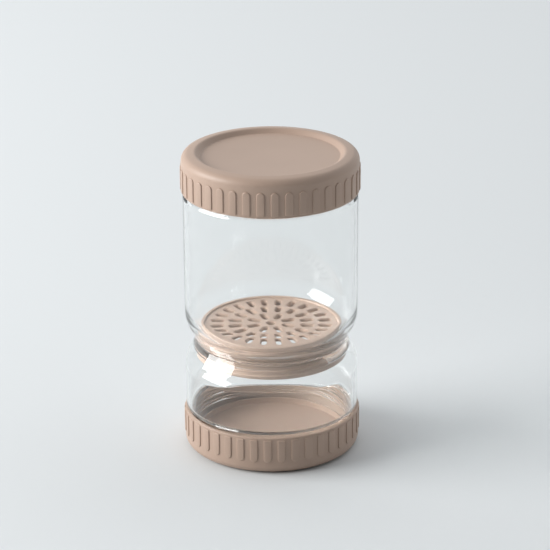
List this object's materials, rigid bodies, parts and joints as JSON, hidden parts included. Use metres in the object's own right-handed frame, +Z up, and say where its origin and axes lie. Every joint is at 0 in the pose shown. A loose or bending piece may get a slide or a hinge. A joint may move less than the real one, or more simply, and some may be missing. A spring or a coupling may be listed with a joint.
{
  "type": "double-ended pickle keeper",
  "caption": "Hourglass-shaped clear keeper: jars screwed onto a slotted strainer coupling at the waist, a ribbed screw lid at either end, turned over to drain.",
  "frame": {"origin": "middle of the crown ring of the bottom lid, which the keeper stands on", "axes": "+Z up along the axis of all screws; the picture looks along +Y with +X to the right"},
  "size_m": [0.09, 0.09, 0.1566],
  "materials": {
    "lid_plastic": "satin moulded",
    "strainer_plastic": "satin moulded",
    "clear_plastic": "clear, polished",
    "silicone": "soft, tinted as the lids"
  },
  "bodies": {
    "bottom_lid": {"bottom_lid": "lid_plastic"},
    "bottom_lid_gasket": {"bottom_lid_gasket": "silicone"},
    "lower_jar": {"lower_jar": "clear_plastic"},
    "lower_seal_ring": {"lower_seal_ring": "silicone"},
    "strainer": {"strainer": "strainer_plastic"},
    "upper_seal_ring": {"upper_seal_ring": "silicone"},
    "upper_jar": {"upper_jar": "clear_plastic"},
    "top_lid_gasket": {"top_lid_gasket": "silicone"},
    "top_lid": {"top_lid": "lid_plastic"}
  },
  "joints": [
    {"name": "lower_jar_unscrew", "type": "hinge", "parent": "bottom_lid", "child": "bottom_lid_gasket", "pos_m": [0, 0, 0.012], "axis": [0, 0, 1], "range_deg": [0, 720]},
    {"name": "lower_jar_lift", "type": "slide", "parent": "bottom_lid_gasket", "child": "lower_jar", "axis": [0, 0, 1], "range_m": [0, 0.018]},
    {"name": "strainer_lift", "type": "slide", "parent": "lower_jar", "child": "lower_seal_ring", "axis": [0, 0, 1], "range_m": [0, 0.0105]},
    {"name": "strainer_unscrew", "type": "hinge", "parent": "lower_seal_ring", "child": "strainer", "pos_m": [0, 0, 0.0554], "axis": [0, 0, 1], "range_deg": [0, 900]},
    {"name": "upper_jar_unscrew", "type": "hinge", "parent": "strainer", "child": "upper_seal_ring", "pos_m": [0, 0, 0.0594], "axis": [0, 0, 1], "range_deg": [0, 900]},
    {"name": "upper_jar_lift", "type": "slide", "parent": "upper_seal_ring", "child": "upper_jar", "axis": [0, 0, 1], "range_m": [0, 0.0105]},
    {"name": "top_lid_lift", "type": "slide", "parent": "upper_jar", "child": "top_lid_gasket", "axis": [0, 0, 1], "range_m": [0, 0.018]},
    {"name": "top_lid_unscrew", "type": "hinge", "parent": "top_lid_gasket", "child": "top_lid", "pos_m": [0, 0, 0.1446], "axis": [0, 0, 1], "range_deg": [0, 720]}
  ],
  "couplings": [
    {"joint": "lower_jar_lift", "follows": "lower_jar_unscrew", "m_per_rad": 0.0014324},
    {"joint": "strainer_lift", "follows": "strainer_unscrew", "m_per_rad": 0.00066845},
    {"joint": "upper_jar_lift", "follows": "upper_jar_unscrew", "m_per_rad": 0.00066845},
    {"joint": "top_lid_lift", "follows": "top_lid_unscrew", "m_per_rad": 0.0014324}
  ]
}
